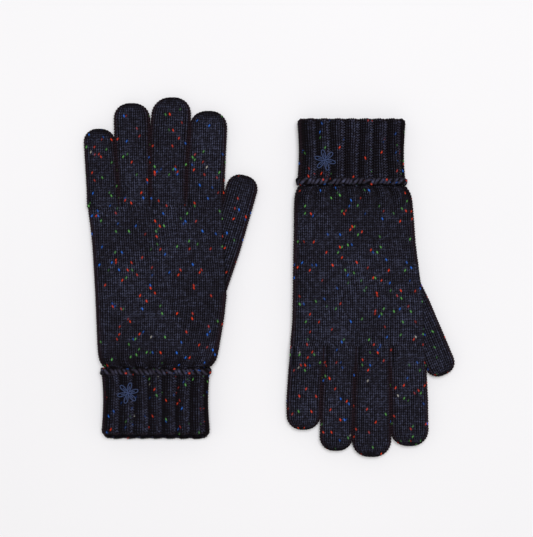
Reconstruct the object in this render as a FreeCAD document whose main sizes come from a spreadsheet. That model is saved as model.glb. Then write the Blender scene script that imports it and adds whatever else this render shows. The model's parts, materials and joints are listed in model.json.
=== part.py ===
import FreeCAD, Part
import math
import os
import Sketcher

# A pair of knitted gloves with turned-up rib cuffs, laid flat side by side with the backs of the
# hands up and the fingers pointing opposite ways. Millimetres, +Z up; the gloves lie on z = 0.
# Each glove is worked out in its own lay: x runs across the hand towards the thumb, y runs from
# the neck (where the hand meets the cuff) towards the fingertips, and z runs up from the table.
# The right glove is the left one mirrored in y. Each knitted tube is a closed hollow solid with a
# flat-sided section that has round edges, called a slot here.

SIZES = [
    # knitting
    ("wall", 2.2, "one layer of plain knitting"),
    ("clearance", 0.4, "air between two pieces that move past each other"),
    ("joint_gap", 1.2, "air between the hand and the round end of a finger"),
    # hand
    ("hand_length", 125.0, "neck to the roots of the fingers"),
    ("hand_thickness", 13.0, "both layers of the hand and the air between them"),
    ("palm_press", 0.3, "how much of the palm's round underside is pressed flat on the table"),
    ("flare_length", 6.0, "neck to the place where the hand has its full thickness"),
    ("flare_width", 87.0, "width of the hand at the end of the flare"),
    ("heel_length", 20.0, "neck to the heel of the hand"),
    ("heel_width", 92.0, "width of the hand at its heel"),
    ("palm_length", 80.0, "neck to the middle of the palm, past the thumb"),
    ("palm_width", 96.0, "width of the hand there, without the thumb"),
    ("gusset_length", 55.0, "neck to the widest place of the thumb's wedge"),
    ("gusset_spread", 7.1, "middle of the thumb's root to the outside of the wedge"),
    ("left_drift", -2.2, "how far the row of fingers lies off the middle of the cuff"),
    ("right_drift", 1.6, "how far the row of fingers lies off the middle of the cuff"),
    # fingers
    ("finger_thickness", 10.0, "both layers of a finger and the air between them"),
    ("finger_gap", 0.6, "air between two fingers at their roots"),
    ("index_width", 26.8, "width of the index finger"),
    ("index_length", 67.0, "root to tip"),
    ("index_bend", 32.0, "root to the place where the finger bends"),
    ("middle_width", 26.2, "width of the middle finger"),
    ("middle_length", 76.5, "root to tip"),
    ("middle_bend", 36.0, "root to the place where the finger bends"),
    ("ring_width", 23.6, "width of the ring finger"),
    ("ring_length", 72.0, "root to tip"),
    ("ring_bend", 34.0, "root to the place where the finger bends"),
    ("little_width", 24.2, "width of the little finger"),
    ("little_length", 55.0, "root to tip"),
    ("little_bend", 26.0, "root to the place where the finger bends"),
    # thumb
    ("thumb_thickness", 9.0, "both layers of the thumb and the air between them"),
    ("thumb_width", 20.8, "width of the thumb"),
    ("thumb_length", 77.5, "middle of the thumb's root to its tip"),
    ("thumb_bend", 40.0, "middle of the thumb's root to the place where it bends"),
    ("thumb_root", 70.0, "neck to the middle of the thumb's root"),
    ("thumb_pass", 3.0, "roots of the fingers back to the place where the thumb meets the index"),
    ("thumb_tuck", 0.35, "how far the thumb's side lies inside the index finger's side there"),
    # cuff
    ("cuff_length", 51.5, "neck to the fold at the wrist end"),
    ("cuff_width", 81.0, "outside of the turned-up layer"),
    ("cuff_opening", 5.0, "air inside the cuff, between its two sides"),
    ("rib_wall", 2.2, "one layer of rib"),
    ("layer_gap", 0.3, "air between the inner layer and the turned-up layer"),
    ("fold_length", 2.2, "the rounded fold beyond the end of the inner layer"),
    ("edge_height", 5.0, "the cast-off edge, along the hand"),
    ("edge_swell", 0.5, "how far the cast-off edge stands proud of the rib"),
    ("edge_spread", 1.7, "how far the cast-off edge stands out at each side"),
    # stitched motif
    ("motif_size", 16.0, "across the stitched star"),
    ("motif_line", 1.4, "width of one stitched line"),
    ("motif_height", 0.45, "how far the thread stands proud of the rib"),
    ("motif_offset", 20.0, "middle of the cuff to the middle of the motif"),
    ("motif_drop", 19.5, "neck to the middle of the motif"),
    # the lay of the pair
    ("pair_spacing", 146.6, "between the middles of the two hands"),
    ("neck_spacing", 134.2, "between the two necks, along the fingers"),
    # lean of each digit towards the thumb side, in degrees
    ("left_index_lean", 3.0, "degrees"),
    ("left_middle_lean", 2.4, "degrees"),
    ("left_ring_lean", -1.7, "degrees"),
    ("left_little_lean", -3.2, "degrees"),
    ("left_thumb_lean", 15.6, "degrees"),
    ("right_index_lean", 1.4, "degrees"),
    ("right_middle_lean", -0.8, "degrees"),
    ("right_ring_lean", -2.6, "degrees"),
    ("right_little_lean", -2.8, "degrees"),
    ("right_thumb_lean", 22.5, "degrees"),
]

FINGERS = ["little", "ring", "middle", "index"]
TOWARDS_FINGERS = {"left": 1, "right": -1}
UPRIGHT = FreeCAD.Rotation(FreeCAD.Vector(1, 0, 0), 90)
UP = FreeCAD.Vector(0, 0, 1)
ROW_WIDTH = " + ".join(f"{finger}_width" for finger in FINGERS) + " + 3 * finger_gap"

doc = FreeCAD.newDocument("gloves")
sheet = doc.addObject("Spreadsheet::Sheet", "Sizes")
for row, (alias, number, meaning) in enumerate(SIZES, start=1):
    sheet.set(f"A{row}", meaning)
    sheet.set(f"B{row}", str(number))
    sheet.setAlias(f"B{row}", alias)
doc.recompute()


def sized(formula):
    """A formula of size names with the sheet's name put before each of them."""
    words = formula.replace("(", " ( ").replace(")", " ) ").split()
    names = {alias for alias, number, meaning in SIZES}
    written = " ".join("Sizes." + word if word in names else word for word in words)
    return written.replace("cos (", "cos(").replace("tan (", "tan(")


def value(formula):
    """The number that a formula of sizes gives."""
    return float(sheet.evalExpression(sized(formula)))


def make(kind, name, sizes=None, at=("0", "0", "0"), turn=None):
    """A document object with its sizes and its place bound to formulas of the sheet."""
    thing = doc.addObject(kind, name)
    if turn:
        thing.Placement.Rotation = turn
    for key, formula in (sizes or {}).items():
        thing.setExpression(key, sized(formula))
    for axis, formula in zip("xyz", at):
        if formula != "0":
            thing.setExpression(f"Placement.Base.{axis}", sized(formula))
    return thing


def fused(name, pieces):
    """One solid from several."""
    thing = doc.addObject("Part::MultiFuse", name)
    thing.Shapes = pieces
    thing.Refine = True
    return thing


def cut(name, base, tool):
    """The base without the tool."""
    thing = doc.addObject("Part::Cut", name)
    thing.Base = base
    thing.Tool = tool
    return thing


def slot(name, low_x, high_x, low_z, high_z, y="0"):
    """A sketch of a slot that stands across y: two level lines joined by two half circles."""
    sketch = make("Sketcher::SketchObject", name, at=("0", y, "0"), turn=UPRIGHT)
    radius = f"( ( {high_z} ) - ( {low_z} ) ) / 2"
    near_x = f"{low_x} + {radius}"
    far_x = f"{high_x} - {radius}"
    middle_z = f"( ( {high_z} ) + ( {low_z} ) ) / 2"
    r, x0, x1, z = (value(formula) for formula in (radius, near_x, far_x, middle_z))

    def point(x, height):
        return FreeCAD.Vector(x, height, 0)

    def end(x, start):
        circle = Part.Circle(point(x, z), UP, r)
        return Part.ArcOfCircle(circle, start, start + math.pi)

    sketch.addGeometry(Part.LineSegment(point(x0, z - r), point(x1, z - r)))
    sketch.addGeometry(end(x1, -math.pi / 2))
    sketch.addGeometry(Part.LineSegment(point(x1, z + r), point(x0, z + r)))
    sketch.addGeometry(end(x0, math.pi / 2))
    for line in range(4):
        following = (line + 1) % 4
        sketch.addConstraint(Sketcher.Constraint("Tangent", line, 2, following, 1))
    sketch.addConstraint(Sketcher.Constraint("Equal", 1, 3))
    sketch.addConstraint(Sketcher.Constraint("Horizontal", 0))
    dimension(sketch, "radius", "Radius", (1,), radius)
    dimension(sketch, "near_x", "DistanceX", (-1, 1, 3, 3), near_x)
    dimension(sketch, "far_x", "DistanceX", (-1, 1, 1, 3), far_x)
    dimension(sketch, "middle_z", "DistanceY", (-1, 1, 1, 3), middle_z)
    return sketch


def run(name, profile, along, backward="0"):
    """A prism that carries a slot forward along +Y, and backward from it."""
    sizes = {"LengthFwd": along, "LengthRev": backward}
    prism = make("Part::Extrusion", name, sizes)
    prism.Base = profile
    prism.DirMode = "Custom"
    prism.Dir = FreeCAD.Vector(0, 1, 0)
    prism.Solid = True
    return prism


def side_slot(name, width, low_z, high_z, y="0"):
    """A slot of a given width, the same on both sides of x = 0."""
    return slot(name, f"0 - ( {width} ) / 2", f"( {width} ) / 2", low_z, high_z, y)


def dimension(sketch, label, kind, where, formula):
    """A named size of a sketch, bound to the sheet."""
    index = sketch.addConstraint(Sketcher.Constraint(kind, *where, value(formula)))
    sketch.renameConstraint(index, label)
    sketch.setExpression(f"Constraints.{label}", sized(formula))


def half_slot(name, radius, reach):
    """A sketch of the half of a slot with x > 0 and its middle on the sketch's own x axis."""
    sketch = make("Sketcher::SketchObject", name)
    r, x = value(radius), value(reach)
    corner = [FreeCAD.Vector(*xy, 0) for xy in ((0, -r), (x, -r), (x, r), (0, r))]
    sketch.addGeometry(Part.LineSegment(corner[0], corner[1]))
    circle = Part.Circle(FreeCAD.Vector(x, 0, 0), UP, r)
    sketch.addGeometry(Part.ArcOfCircle(circle, -math.pi / 2, math.pi / 2))
    sketch.addGeometry(Part.LineSegment(corner[2], corner[3]))
    sketch.addGeometry(Part.LineSegment(corner[3], corner[0]))
    sketch.addConstraint(Sketcher.Constraint("Tangent", 0, 2, 1, 1))
    sketch.addConstraint(Sketcher.Constraint("Tangent", 1, 2, 2, 1))
    sketch.addConstraint(Sketcher.Constraint("Coincident", 2, 2, 3, 1))
    sketch.addConstraint(Sketcher.Constraint("Coincident", 3, 2, 0, 1))
    sketch.addConstraint(Sketcher.Constraint("Horizontal", 0))
    sketch.addConstraint(Sketcher.Constraint("PointOnObject", 1, 3, -1))
    sketch.addConstraint(Sketcher.Constraint("PointOnObject", 2, 2, -2))
    sketch.addConstraint(Sketcher.Constraint("PointOnObject", 0, 1, -2))
    dimension(sketch, "radius", "Radius", (1,), radius)
    dimension(sketch, "reach", "DistanceX", (-1, 1, 1, 3), reach)
    return sketch


def half_top(name, radius, reach):
    """A sketch of the half of a slot with y > 0, whose lower side lies on the sketch's x axis."""
    sketch = make("Sketcher::SketchObject", name)
    r, x = value(radius), value(reach)
    corner = [FreeCAD.Vector(*xy, 0) for xy in ((-x - r, 0), (x + r, 0), (x, r), (-x, r))]
    sketch.addGeometry(Part.LineSegment(corner[0], corner[1]))
    right = Part.Circle(FreeCAD.Vector(x, 0, 0), UP, r)
    sketch.addGeometry(Part.ArcOfCircle(right, 0, math.pi / 2))
    sketch.addGeometry(Part.LineSegment(corner[2], corner[3]))
    left = Part.Circle(FreeCAD.Vector(-x, 0, 0), UP, r)
    sketch.addGeometry(Part.ArcOfCircle(left, math.pi / 2, math.pi))
    sketch.addConstraint(Sketcher.Constraint("Coincident", 0, 2, 1, 1))
    sketch.addConstraint(Sketcher.Constraint("Tangent", 1, 2, 2, 1))
    sketch.addConstraint(Sketcher.Constraint("Tangent", 2, 2, 3, 1))
    sketch.addConstraint(Sketcher.Constraint("Coincident", 3, 2, 0, 1))
    for point in ((0, 1), (0, 2), (1, 3), (3, 3)):
        sketch.addConstraint(Sketcher.Constraint("PointOnObject", *point, -1))
    dimension(sketch, "radius", "Radius", (1,), radius)
    dimension(sketch, "right_reach", "DistanceX", (-1, 1, 1, 3), reach)
    dimension(sketch, "left_reach", "DistanceX", (3, 3, -1, 1), reach)
    return sketch


def spun(name, profile, axis):
    """A profile turned half a turn about an axis through its own origin."""
    thing = doc.addObject("Part::Revolution", name)
    thing.Source = profile
    thing.Axis = axis
    thing.Angle = 180
    thing.Solid = True
    return thing


def disc_end(name, width, low_z, high_z, y, backward=False):
    """The round end of a flat tube: half a disc in plan, with the slot's round edge all the way."""
    height = f"( {high_z} - {low_z} )"
    profile = half_slot(name + "_half_slot", f"{height} / 2", f"( {width} - {height} ) / 2")
    profile.Placement.Rotation = UPRIGHT
    disc = spun(name + "_disc", profile, -UP if backward else UP)
    disc.setExpression("Placement.Base.y", sized(y))
    disc.setExpression("Placement.Base.z", sized(f"( {high_z} + {low_z} ) / 2"))
    return disc


def rolled_end(name, width, thickness):
    """The round end of a flat tube about the level line across y = 0, so that it can turn there."""
    profile = half_top(name + "_half_slot", f"{thickness} / 2", f"( {width} - {thickness} ) / 2")
    profile.Placement.Rotation = UPRIGHT
    roll = spun(name + "_roll", profile, FreeCAD.Vector(1, 0, 0))
    roll.setExpression("Placement.Base.z", sized(f"{thickness} / 2"))
    return roll


def digit_base(name, width, thickness, bend, root_end):
    """The root half of a finger or thumb: a tube that is open at both ends."""
    reach = f"{bend} - {thickness} / 2 - clearance"
    outside = [run(name + "_out", side_slot(name + "_out_slot", width, "0", thickness), reach)]
    if root_end == "rolled":
        outside.append(rolled_end(name, width, thickness))
    else:
        outside.append(disc_end(name, width, "0", thickness, "0", backward=True))
    hollow = side_slot(name + "_in_slot", f"{width} - 2 * wall", "wall", f"{thickness} - wall")
    hollow = run(name + "_in", hollow, bend, f"( {width} )")
    return cut(name, fused(name + "_outside", outside), hollow)


def digit_end(name, width, thickness, length):
    """The outer half of a finger or thumb: a tube with a closed round tip."""
    straight = f"{length} - {width} / 2"
    outside = [run(name + "_out", side_slot(name + "_out_slot", width, "0", thickness), straight)]
    outside.append(rolled_end(name, width, thickness))
    outside.append(disc_end(name + "_tip", width, "0", thickness, straight))
    inner_width = f"( {width} - 2 * wall )"
    inner_top = f"( {thickness} - wall )"
    hollow = side_slot(name + "_in_slot", inner_width, "wall", inner_top)
    inside = [run(name + "_in", hollow, straight, thickness)]
    inside.append(disc_end(name + "_tip_in", inner_width, "wall", inner_top, straight))
    return cut(name, fused(name + "_outside", outside), fused(name + "_inside", inside))


def lay(glove, x, y):
    """A place in a glove's own lay, as a place on the table before the pair is centred."""
    middle = value("pair_spacing") / 2 * -TOWARDS_FINGERS[glove]
    neck = value("neck_spacing") / 2 * -TOWARDS_FINGERS[glove]
    return FreeCAD.Vector(middle + x, neck + TOWARDS_FINGERS[glove] * y, 0)


def heading(glove, digit):
    """The direction in which a digit points, in its glove's own lay."""
    lean = math.radians(value(f"{glove}_{digit}_lean"))
    return math.sin(lean), math.cos(lean)


def thumb_offset(glove):
    """The middle of the hand to the middle of the thumb's root, so that the thumb meets the index."""
    lean = f"( {glove}_thumb_lean * 1 deg )"
    index_side = f"( {ROW_WIDTH} ) / 2 + {glove}_drift"
    half_width = f"thumb_width / 2 / cos {lean}"
    way = f"( hand_length - thumb_pass - thumb_root ) * tan {lean}"
    return f"{index_side} - thumb_tuck + {half_width} - {way}"


def root_of(glove, digit):
    """The middle of a digit's root, in its glove's own lay."""
    if digit == "thumb":
        return value(thumb_offset(glove)), value("thumb_root")
    gap = value("finger_gap")
    widths = [value(f"{finger}_width") for finger in FINGERS]
    before = FINGERS.index(digit)
    row = sum(widths) + 3 * gap
    x = sum(widths[:before]) + before * gap + widths[before] / 2 - row / 2
    return x + value(f"{glove}_drift"), value("hand_length")


def bend_of(glove, digit):
    """The place where a digit bends, in its glove's own lay."""
    x, y = root_of(glove, digit)
    across, along = heading(glove, digit)
    bend = value(f"{digit}_bend")
    return x + across * bend, y + along * bend


def digit_placement(glove, digit, place):
    """The placement of a half digit whose own +Y is to point along the digit."""
    lean = value(f"{glove}_{digit}_lean")
    angle = -lean if glove == "left" else 180 + lean
    return FreeCAD.Placement(lay(glove, *place), FreeCAD.Rotation(UP, angle))


def glove_digits(glove):
    """The ten half digits of one glove, in place."""
    made = []
    for digit in FINGERS + ["thumb"]:
        thickness = "thumb_thickness" if digit == "thumb" else "finger_thickness"
        root_end = "disc" if digit == "thumb" else "rolled"
        width = f"{digit}_width"
        base = digit_base(f"{glove}_{digit}_base", width, thickness, f"{digit}_bend", root_end)
        base.Placement = digit_placement(glove, digit, root_of(glove, digit))
        length = f"( {digit}_length - {digit}_bend )"
        end = digit_end(f"{glove}_{digit}_end", width, thickness, length)
        end.Placement = digit_placement(glove, digit, bend_of(glove, digit))
        made += [base, end]
    return made


HAND_END = "( hand_length - finger_thickness / 2 - joint_gap )"
INNER_WIDTH = "( cuff_width - 2 * rib_wall - 2 * layer_gap )"
INNER_THICKNESS = "( cuff_opening + 2 * rib_wall )"
EDGE_THICKNESS = f"( {INNER_THICKNESS} + 2 * layer_gap + 2 * rib_wall + 2 * edge_swell )"
CUFF_MIDDLE = f"( {EDGE_THICKNESS} / 2 )"


def hand_sections(glove):
    """The hand's slots from the neck to the fingers: (y, little edge, thumb edge, low z, high z)."""
    neck_low = f"{CUFF_MIDDLE} - {INNER_THICKNESS} / 2"
    neck_high = f"{CUFF_MIDDLE} + {INNER_THICKNESS} / 2"
    full = ("0 - palm_press", "hand_thickness")
    half_row = f"( {ROW_WIDTH} ) / 2"
    slope = f"( heel_width + ( palm_width - heel_width ) * ( gusset_length - heel_length )"
    slope += " / ( palm_length - heel_length ) ) / 2"
    return [
        ("0", f"0 - {INNER_WIDTH} / 2", f"{INNER_WIDTH} / 2", neck_low, neck_high),
        ("flare_length", "0 - flare_width / 2", "flare_width / 2") + full,
        ("heel_length", "0 - heel_width / 2", "heel_width / 2") + full,
        ("gusset_length", f"0 - {slope}", f"{thumb_offset(glove)} + gusset_spread") + full,
        ("palm_length", "0 - palm_width / 2", "palm_width / 2") + full,
        (HAND_END, f"{glove}_drift - {half_row}", f"{glove}_drift + {half_row}") + full,
    ]


def loft(name, glove, sections, inset, overrun):
    """A solid through slots in order along y, each drawn in by inset, run on past both ends."""
    sign = "" if glove == "left" else "0 - "
    first, last = sections[0], sections[-1]
    if overrun:
        first = (f"{first[0]} - {overrun}",) + first[1:]
        last = (f"{last[0]} + {overrun}",) + last[1:]
        sections = [first] + sections + [last]
    profiles = []
    for number, (y, low_x, high_x, low_z, high_z) in enumerate(sections):
        profiles.append(
            slot(
                f"{name}_slot_{number}",
                f"( {low_x} + {inset} )",
                f"( {high_x} - {inset} )",
                f"( {low_z} + {inset} )",
                f"( {high_z} - {inset} )",
                f"{sign}( {y} )",
            )
        )
    thing = doc.addObject("Part::Loft", name)
    thing.Sections = profiles
    thing.Solid = True
    thing.Ruled = True
    return thing


def thumb_room(name, glove, margin):
    """The space in the side of the hand where the thumb lies, with a margin all round."""
    half = f"( thumb_width / 2 + {margin} )"
    height = f"( thumb_thickness + {margin} * 2 )"
    sizes = {"Length": f"{half} * 2", "Width": "thumb_length * 1.5", "Height": height}
    strip = make("Part::Box", name + "_strip", sizes, (f"0 - {half}", "0", f"0 - {margin}"))
    sizes = {"Radius": half, "Height": height}
    turn = make("Part::Cylinder", name + "_turn", sizes, ("0", "0", f"0 - {margin}"))
    room = fused(name, [strip, turn])
    room.Placement = thumb_in_hand(glove)
    return room


def thumb_in_hand(glove):
    """The thumb's placement seen from the neck of its own glove."""
    placement = digit_placement(glove, "thumb", root_of(glove, "thumb"))
    placement.Base = placement.Base - lay(glove, 0, 0)
    return placement


def under_table(name, glove):
    """A block just below z = 0 that presses the palm flat."""
    start = "0" if glove == "left" else "0 - hand_length"
    sizes = {"Length": f"( {ROW_WIDTH} ) * 2", "Width": "hand_length", "Height": "palm_press * 2"}
    return make("Part::Box", name, sizes, (f"0 - ( {ROW_WIDTH} )", start, "0 - palm_press * 2"))


def glove_hand(glove):
    """The hand: one wide tube from the neck to the fingers, let in on its palm side for the thumb."""
    name = f"{glove}_hand"
    sections = hand_sections(glove)
    outside = loft(name + "_out", glove, sections, "0", None)
    hollow = loft(name + "_in", glove, sections, "wall", "joint_gap")
    side_wall = thumb_room(name + "_thumb_wall", glove, "( clearance + wall )")
    hollow = cut(name + "_pocket", hollow, side_wall)
    room = thumb_room(name + "_thumb_room", glove, "clearance")
    way = side_slot(name + "_way_slot", "thumb_width - 2 * wall", "wall", "thumb_thickness - wall")
    way = run(name + "_way", way, "clearance", "thumb_width")
    way.Placement = thumb_in_hand(glove)
    table = under_table(name + "_table", glove)
    tools = fused(name + "_tools", [hollow, room, way])
    hand = cut(name, cut(name + "_on_table", outside, table), tools)
    hand.Placement.Base = lay(glove, 0, 0)
    return hand


def rib_tube(name, glove, width, thickness, wall, near, far):
    """A tube about the middle of the cuff, from near to far below the neck."""
    low = f"{CUFF_MIDDLE} - ( {thickness} ) / 2"
    high = f"{CUFF_MIDDLE} + ( {thickness} ) / 2"
    start = f"0 - ( {far} )" if glove == "left" else f"( {near} )"
    outer = side_slot(name + "_out_slot", width, low, high, start)
    inner_low = f"( {low} + {wall} )"
    inner_high = f"( {high} - ( {wall} ) )"
    inner = side_slot(name + "_in_slot", f"{width} - 2 * ( {wall} )", inner_low, inner_high, start)
    length = f"( {far} ) - ( {near} )"
    outer = run(name + "_out", outer, length)
    inner = run(name + "_in", inner, f"{length} + wall", "wall")
    tube = cut(name, outer, inner)
    tube.Placement.Base = lay(glove, 0, 0)
    return tube


def glove_cuff(glove):
    """The rib cuff: inner layer, the layer turned up over it with the fold, and its edge."""
    thickness = f"( {INNER_THICKNESS} + 2 * layer_gap + 2 * rib_wall )"
    inner = rib_tube(f"{glove}_inner_cuff", glove, INNER_WIDTH, INNER_THICKNESS, "rib_wall", "0", "cuff_length")
    layer_end = "cuff_length + layer_gap"
    upper = rib_tube(
        f"{glove}_turned_layer", glove, "cuff_width", thickness, "rib_wall", "edge_height", layer_end
    )
    fold_wall = f"( {thickness} - cuff_opening ) / 2"
    fold = rib_tube(
        f"{glove}_fold", glove, "cuff_width", thickness, fold_wall, layer_end, f"{layer_end} + fold_length"
    )
    turned = fused(f"{glove}_turned_cuff", [upper, fold])
    edge = rib_tube(
        f"{glove}_cuff_edge",
        glove,
        "( cuff_width + 2 * edge_spread )",
        EDGE_THICKNESS,
        "( rib_wall + edge_swell )",
        "layer_gap",
        "edge_height",
    )
    return [inner, turned, edge]


def glove_motif(glove):
    """A six-armed star in raised thread on the turned-up layer, near the little finger's side."""
    arms = []
    for number in range(3):
        sizes = {"Length": "motif_size", "Width": "motif_line", "Height": "motif_height"}
        arm = make("Part::Box", f"{glove}_motif_arm_{number}", sizes)
        turn = FreeCAD.Rotation(UP, 30 + 60 * number)
        middle = FreeCAD.Vector(value("motif_size") / 2, value("motif_line") / 2, 0)
        arm.Placement = FreeCAD.Placement(-turn.multVec(middle), turn)
        arms.append(arm)
    motif = fused(f"{glove}_cuff_motif", arms)
    place = lay(glove, -value("motif_offset"), -value("motif_drop"))
    place.z = value(f"{EDGE_THICKNESS} - edge_swell")
    motif.Placement.Base = place
    return motif


parts = []
for glove in ("left", "right"):
    parts += [glove_hand(glove)] + glove_cuff(glove) + [glove_motif(glove)] + glove_digits(glove)
doc.recompute()

# The pair is centred over the origin.
box = FreeCAD.BoundBox()
for part in parts:
    box.add(part.Shape.optimalBoundingBox(False))
centring = FreeCAD.Vector(-box.Center.x, -box.Center.y, -box.ZMin)
for part in parts:
    part.Placement.Base = part.Placement.Base + centring
doc.recompute()

for thing in doc.Objects:
    if "Invalid" in thing.State or "Error" in thing.State:
        raise RuntimeError(f"{thing.Name} failed: {thing.State}")
for part in parts:
    part.Label = part.Name
    if part.Shape.isNull() or not part.Shape.isValid():
        raise RuntimeError(f"{part.Label} has no sound shape")

os.makedirs("parts", exist_ok=True)
for part in parts:
    part.Shape.exportStep(f"parts/{part.Label}.step")
print(f"{len(parts)} pieces, {box.XLength:.1f} x {box.YLength:.1f} x {box.ZLength:.1f} mm")
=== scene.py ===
"""A pair of knitted wool gloves laid flat, the left with its fingers up and the right with them down.

Every piece is real knitting: courses of looped yarn on a soft tube, over a near-black shell that paints
the shade between the loops.
Lengths in the tables are millimetres on a glove's own lay: x across towards the thumb,
y from the neck of the cuff towards the fingertips, z up from the table.
"""

import json
import math

import bpy
import numpy as np
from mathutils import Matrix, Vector


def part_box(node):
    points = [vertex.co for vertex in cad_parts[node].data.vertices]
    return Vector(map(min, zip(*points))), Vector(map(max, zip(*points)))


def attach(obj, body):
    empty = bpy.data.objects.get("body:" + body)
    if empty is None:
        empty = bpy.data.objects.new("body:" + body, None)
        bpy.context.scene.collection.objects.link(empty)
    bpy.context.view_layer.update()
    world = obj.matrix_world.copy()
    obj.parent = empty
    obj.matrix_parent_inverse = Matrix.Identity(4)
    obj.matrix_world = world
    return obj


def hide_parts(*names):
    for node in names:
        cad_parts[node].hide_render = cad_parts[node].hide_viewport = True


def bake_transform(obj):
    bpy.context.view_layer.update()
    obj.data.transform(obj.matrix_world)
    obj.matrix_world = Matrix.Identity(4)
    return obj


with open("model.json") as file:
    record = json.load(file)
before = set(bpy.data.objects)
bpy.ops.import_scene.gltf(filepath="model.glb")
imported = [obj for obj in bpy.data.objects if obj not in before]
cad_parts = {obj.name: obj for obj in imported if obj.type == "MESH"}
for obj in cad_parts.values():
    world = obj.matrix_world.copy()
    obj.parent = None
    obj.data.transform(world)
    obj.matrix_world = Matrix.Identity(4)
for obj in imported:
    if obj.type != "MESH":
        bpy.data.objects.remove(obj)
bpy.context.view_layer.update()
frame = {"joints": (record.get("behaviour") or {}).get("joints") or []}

MM = 0.001
TOWARDS_FINGERS = {"left": 1.0, "right": -1.0}
FINGERS = ("little", "ring", "middle", "index")

# The knitting: points along one loop, sides of the yarn, wales round a hand or cuff, the height of a
# course, half the thickness of the fabric, and how far inside it lies the near-black shell that paints
# the shade between the loops.
SAMPLES = 8
SIDES = 5
WALES = 64
COURSE = 1.92
FABRIC = 1.25
SHADE_SHELL_DEPTH = 0.6

# One loop: its sideways lean in wales, its rise in courses, its depth and the yarn's radius, all for
# wales this wide or wider. Where wales lie closer, depth and radius shrink with them.
LEAN = 0.25
RISE = 0.72
LOOP_DEPTH = 0.62
YARN_RADIUS = 0.74
FULL_WALE = 3.1

# A full rib draws its knit wales together by this share of a wale and lifts them by this much.
RIB_GATHER = 0.24
RIB_LIFT = 0.24

# The four colours spun into the yarn, how much of the flecks each has, and how many loop legs have one.
FLECKS = ("#e8431f", "#2f6fd6", "#5fa552", "#b9b6ad")
FLECK_PARTS = (0.38, 0.29, 0.29, 0.04)
FLECK_SHARE = 0.032
EDGE_FLECKS = 60

# The outline of each hand from the neck to the fingers: y, little-finger edge, thumb edge.
OUTLINE = {
    "left": (
        (0.0, -39.8, 41.8),
        (2.5, -42.2, 44.8),
        (8.0, -43.6, 46.8),
        (18.0, -44.2, 48.6),
        (36.0, -44.9, 51.6),
        (54.0, -45.7, 53.6),
        (70.0, -46.6, 53.4),
        (88.0, -47.8, 52.2),
        (104.0, -49.2, 50.8),
        (121.0, -51.0, 50.4),
    ),
    "right": (
        (0.0, -40.2, 41.2),
        (2.5, -42.0, 43.8),
        (8.0, -43.0, 45.8),
        (18.0, -43.4, 46.8),
        (40.0, -43.6, 48.4),
        (64.0, -44.0, 51.4),
        (85.0, -44.2, 54.4),
        (104.0, -44.6, 54.8),
        (121.0, -45.6, 54.8),
    ),
}
HAND_COURSES = 62
HAND_END = HAND_COURSES * COURSE

# Half the height of the hand's tube and the height of its middle, at the neck and at the palm, and how
# much both lose towards the fingers.
NECK_HALF, NECK_MIDDLE = 2.9, 7.9
PALM_HALF, PALM_MIDDLE = 5.4, 6.7
END_HALF_LOSS, END_MIDDLE_LOSS = 1.5, 1.45

# Each digit: thickness and wales round it.
DIGITS = {
    "index": (10.0, 20),
    "middle": (10.0, 20),
    "ring": (10.0, 18),
    "little": (10.0, 18),
    "thumb": (9.4, 16),
}

# Each finger's two edges, from where it leaves the hand to near its tip: y, little side, thumb side,
# and then the y of its tip. Neighbours share an edge until their tips part.
FINGER_EDGES = {
    "left": {
        "little": (
            ((118, -51.0, -27.3), (150, -52.8, -29.4), (172, -54.2, -31.0), (190, -54.8, -32.0)),
            179.2,
        ),
        "ring": (
            ((118, -27.3, -4.2), (150, -29.4, -4.3), (172, -31.0, -4.5), (200, -31.6, -5.0)),
            198.4,
        ),
        "middle": (
            ((118, -4.2, 22.2), (150, -4.3, 23.4), (174, -4.1, 25.2), (204, -2.0, 26.6)),
            202.8,
        ),
        "index": (
            ((118, 22.2, 50.4), (150, 23.4, 51.8), (174, 25.2, 52.9), (200, 25.9, 53.6)),
            192.6,
        ),
    },
    "right": {
        "little": (
            ((118, -45.4, -20.6), (139, -46.9, -21.4), (160, -48.3, -22.5), (184, -48.0, -23.6)),
            183.4,
        ),
        "ring": (
            ((118, -20.6, 3.8), (139, -21.4, 3.0), (160, -22.5, 1.9), (200, -23.6, 0.7)),
            199.2,
        ),
        "middle": (
            ((118, 3.8, 28.6), (139, 3.0, 29.0), (160, 1.9, 29.4), (204, 0.7, 29.9)),
            203.8,
        ),
        "index": (
            ((118, 28.6, 54.8), (139, 29.0, 56.4), (160, 29.4, 57.4), (200, 29.9, 58.0)),
            195.6,
        ),
    },
}

# The place under each hand where its thumb is tucked in: the air round the thumb, the way over which
# the hand comes down again, where along the hand it begins, and how much of the hand's height it takes.
SEAT_AIR = 1.0
SEAT_FADE = 5.0
SEAT_BEGINS = (6.0, 22.0)
SEAT_SHARE = 0.92

# How deep the hand's grooves are between the fingers, where the fingers have fully parted, over what
# way they part, and how square they still are where they leave the hand.
GROOVE_DEPTH = {"left": 0.15, "right": 0.0}
PARTING = {"left": 132.0, "right": 141.0}
PARTING_WAY = 11.0
ROOT_SQUARENESS = 0.86

# Each thumb along its own heading: the edge under the hand at its root and near its tip, the outer
# edge, and its tip.
THUMB_EDGES = {"left": (-11.6, -9.8, 13.2, 77.4), "right": (-12.6, -12.4, 9.6, 77.4)}

# Where the thumb's tube starts under the hand, along its heading from its root.
THUMB_START = -26.0

# How much thicker and higher the knitting of a digit lies than its thickness alone would put it.
DIGIT_RISE = 0.15

# How far before its bend a digit is divided in two.
DIVIDED_BEFORE = 9.0

# How strongly a digit's tip is rounded: the power of its outline, and how far round it is drawn.
TIP_POWER = 2.15
TIP_TURN = math.pi / 2 * 0.965

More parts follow.
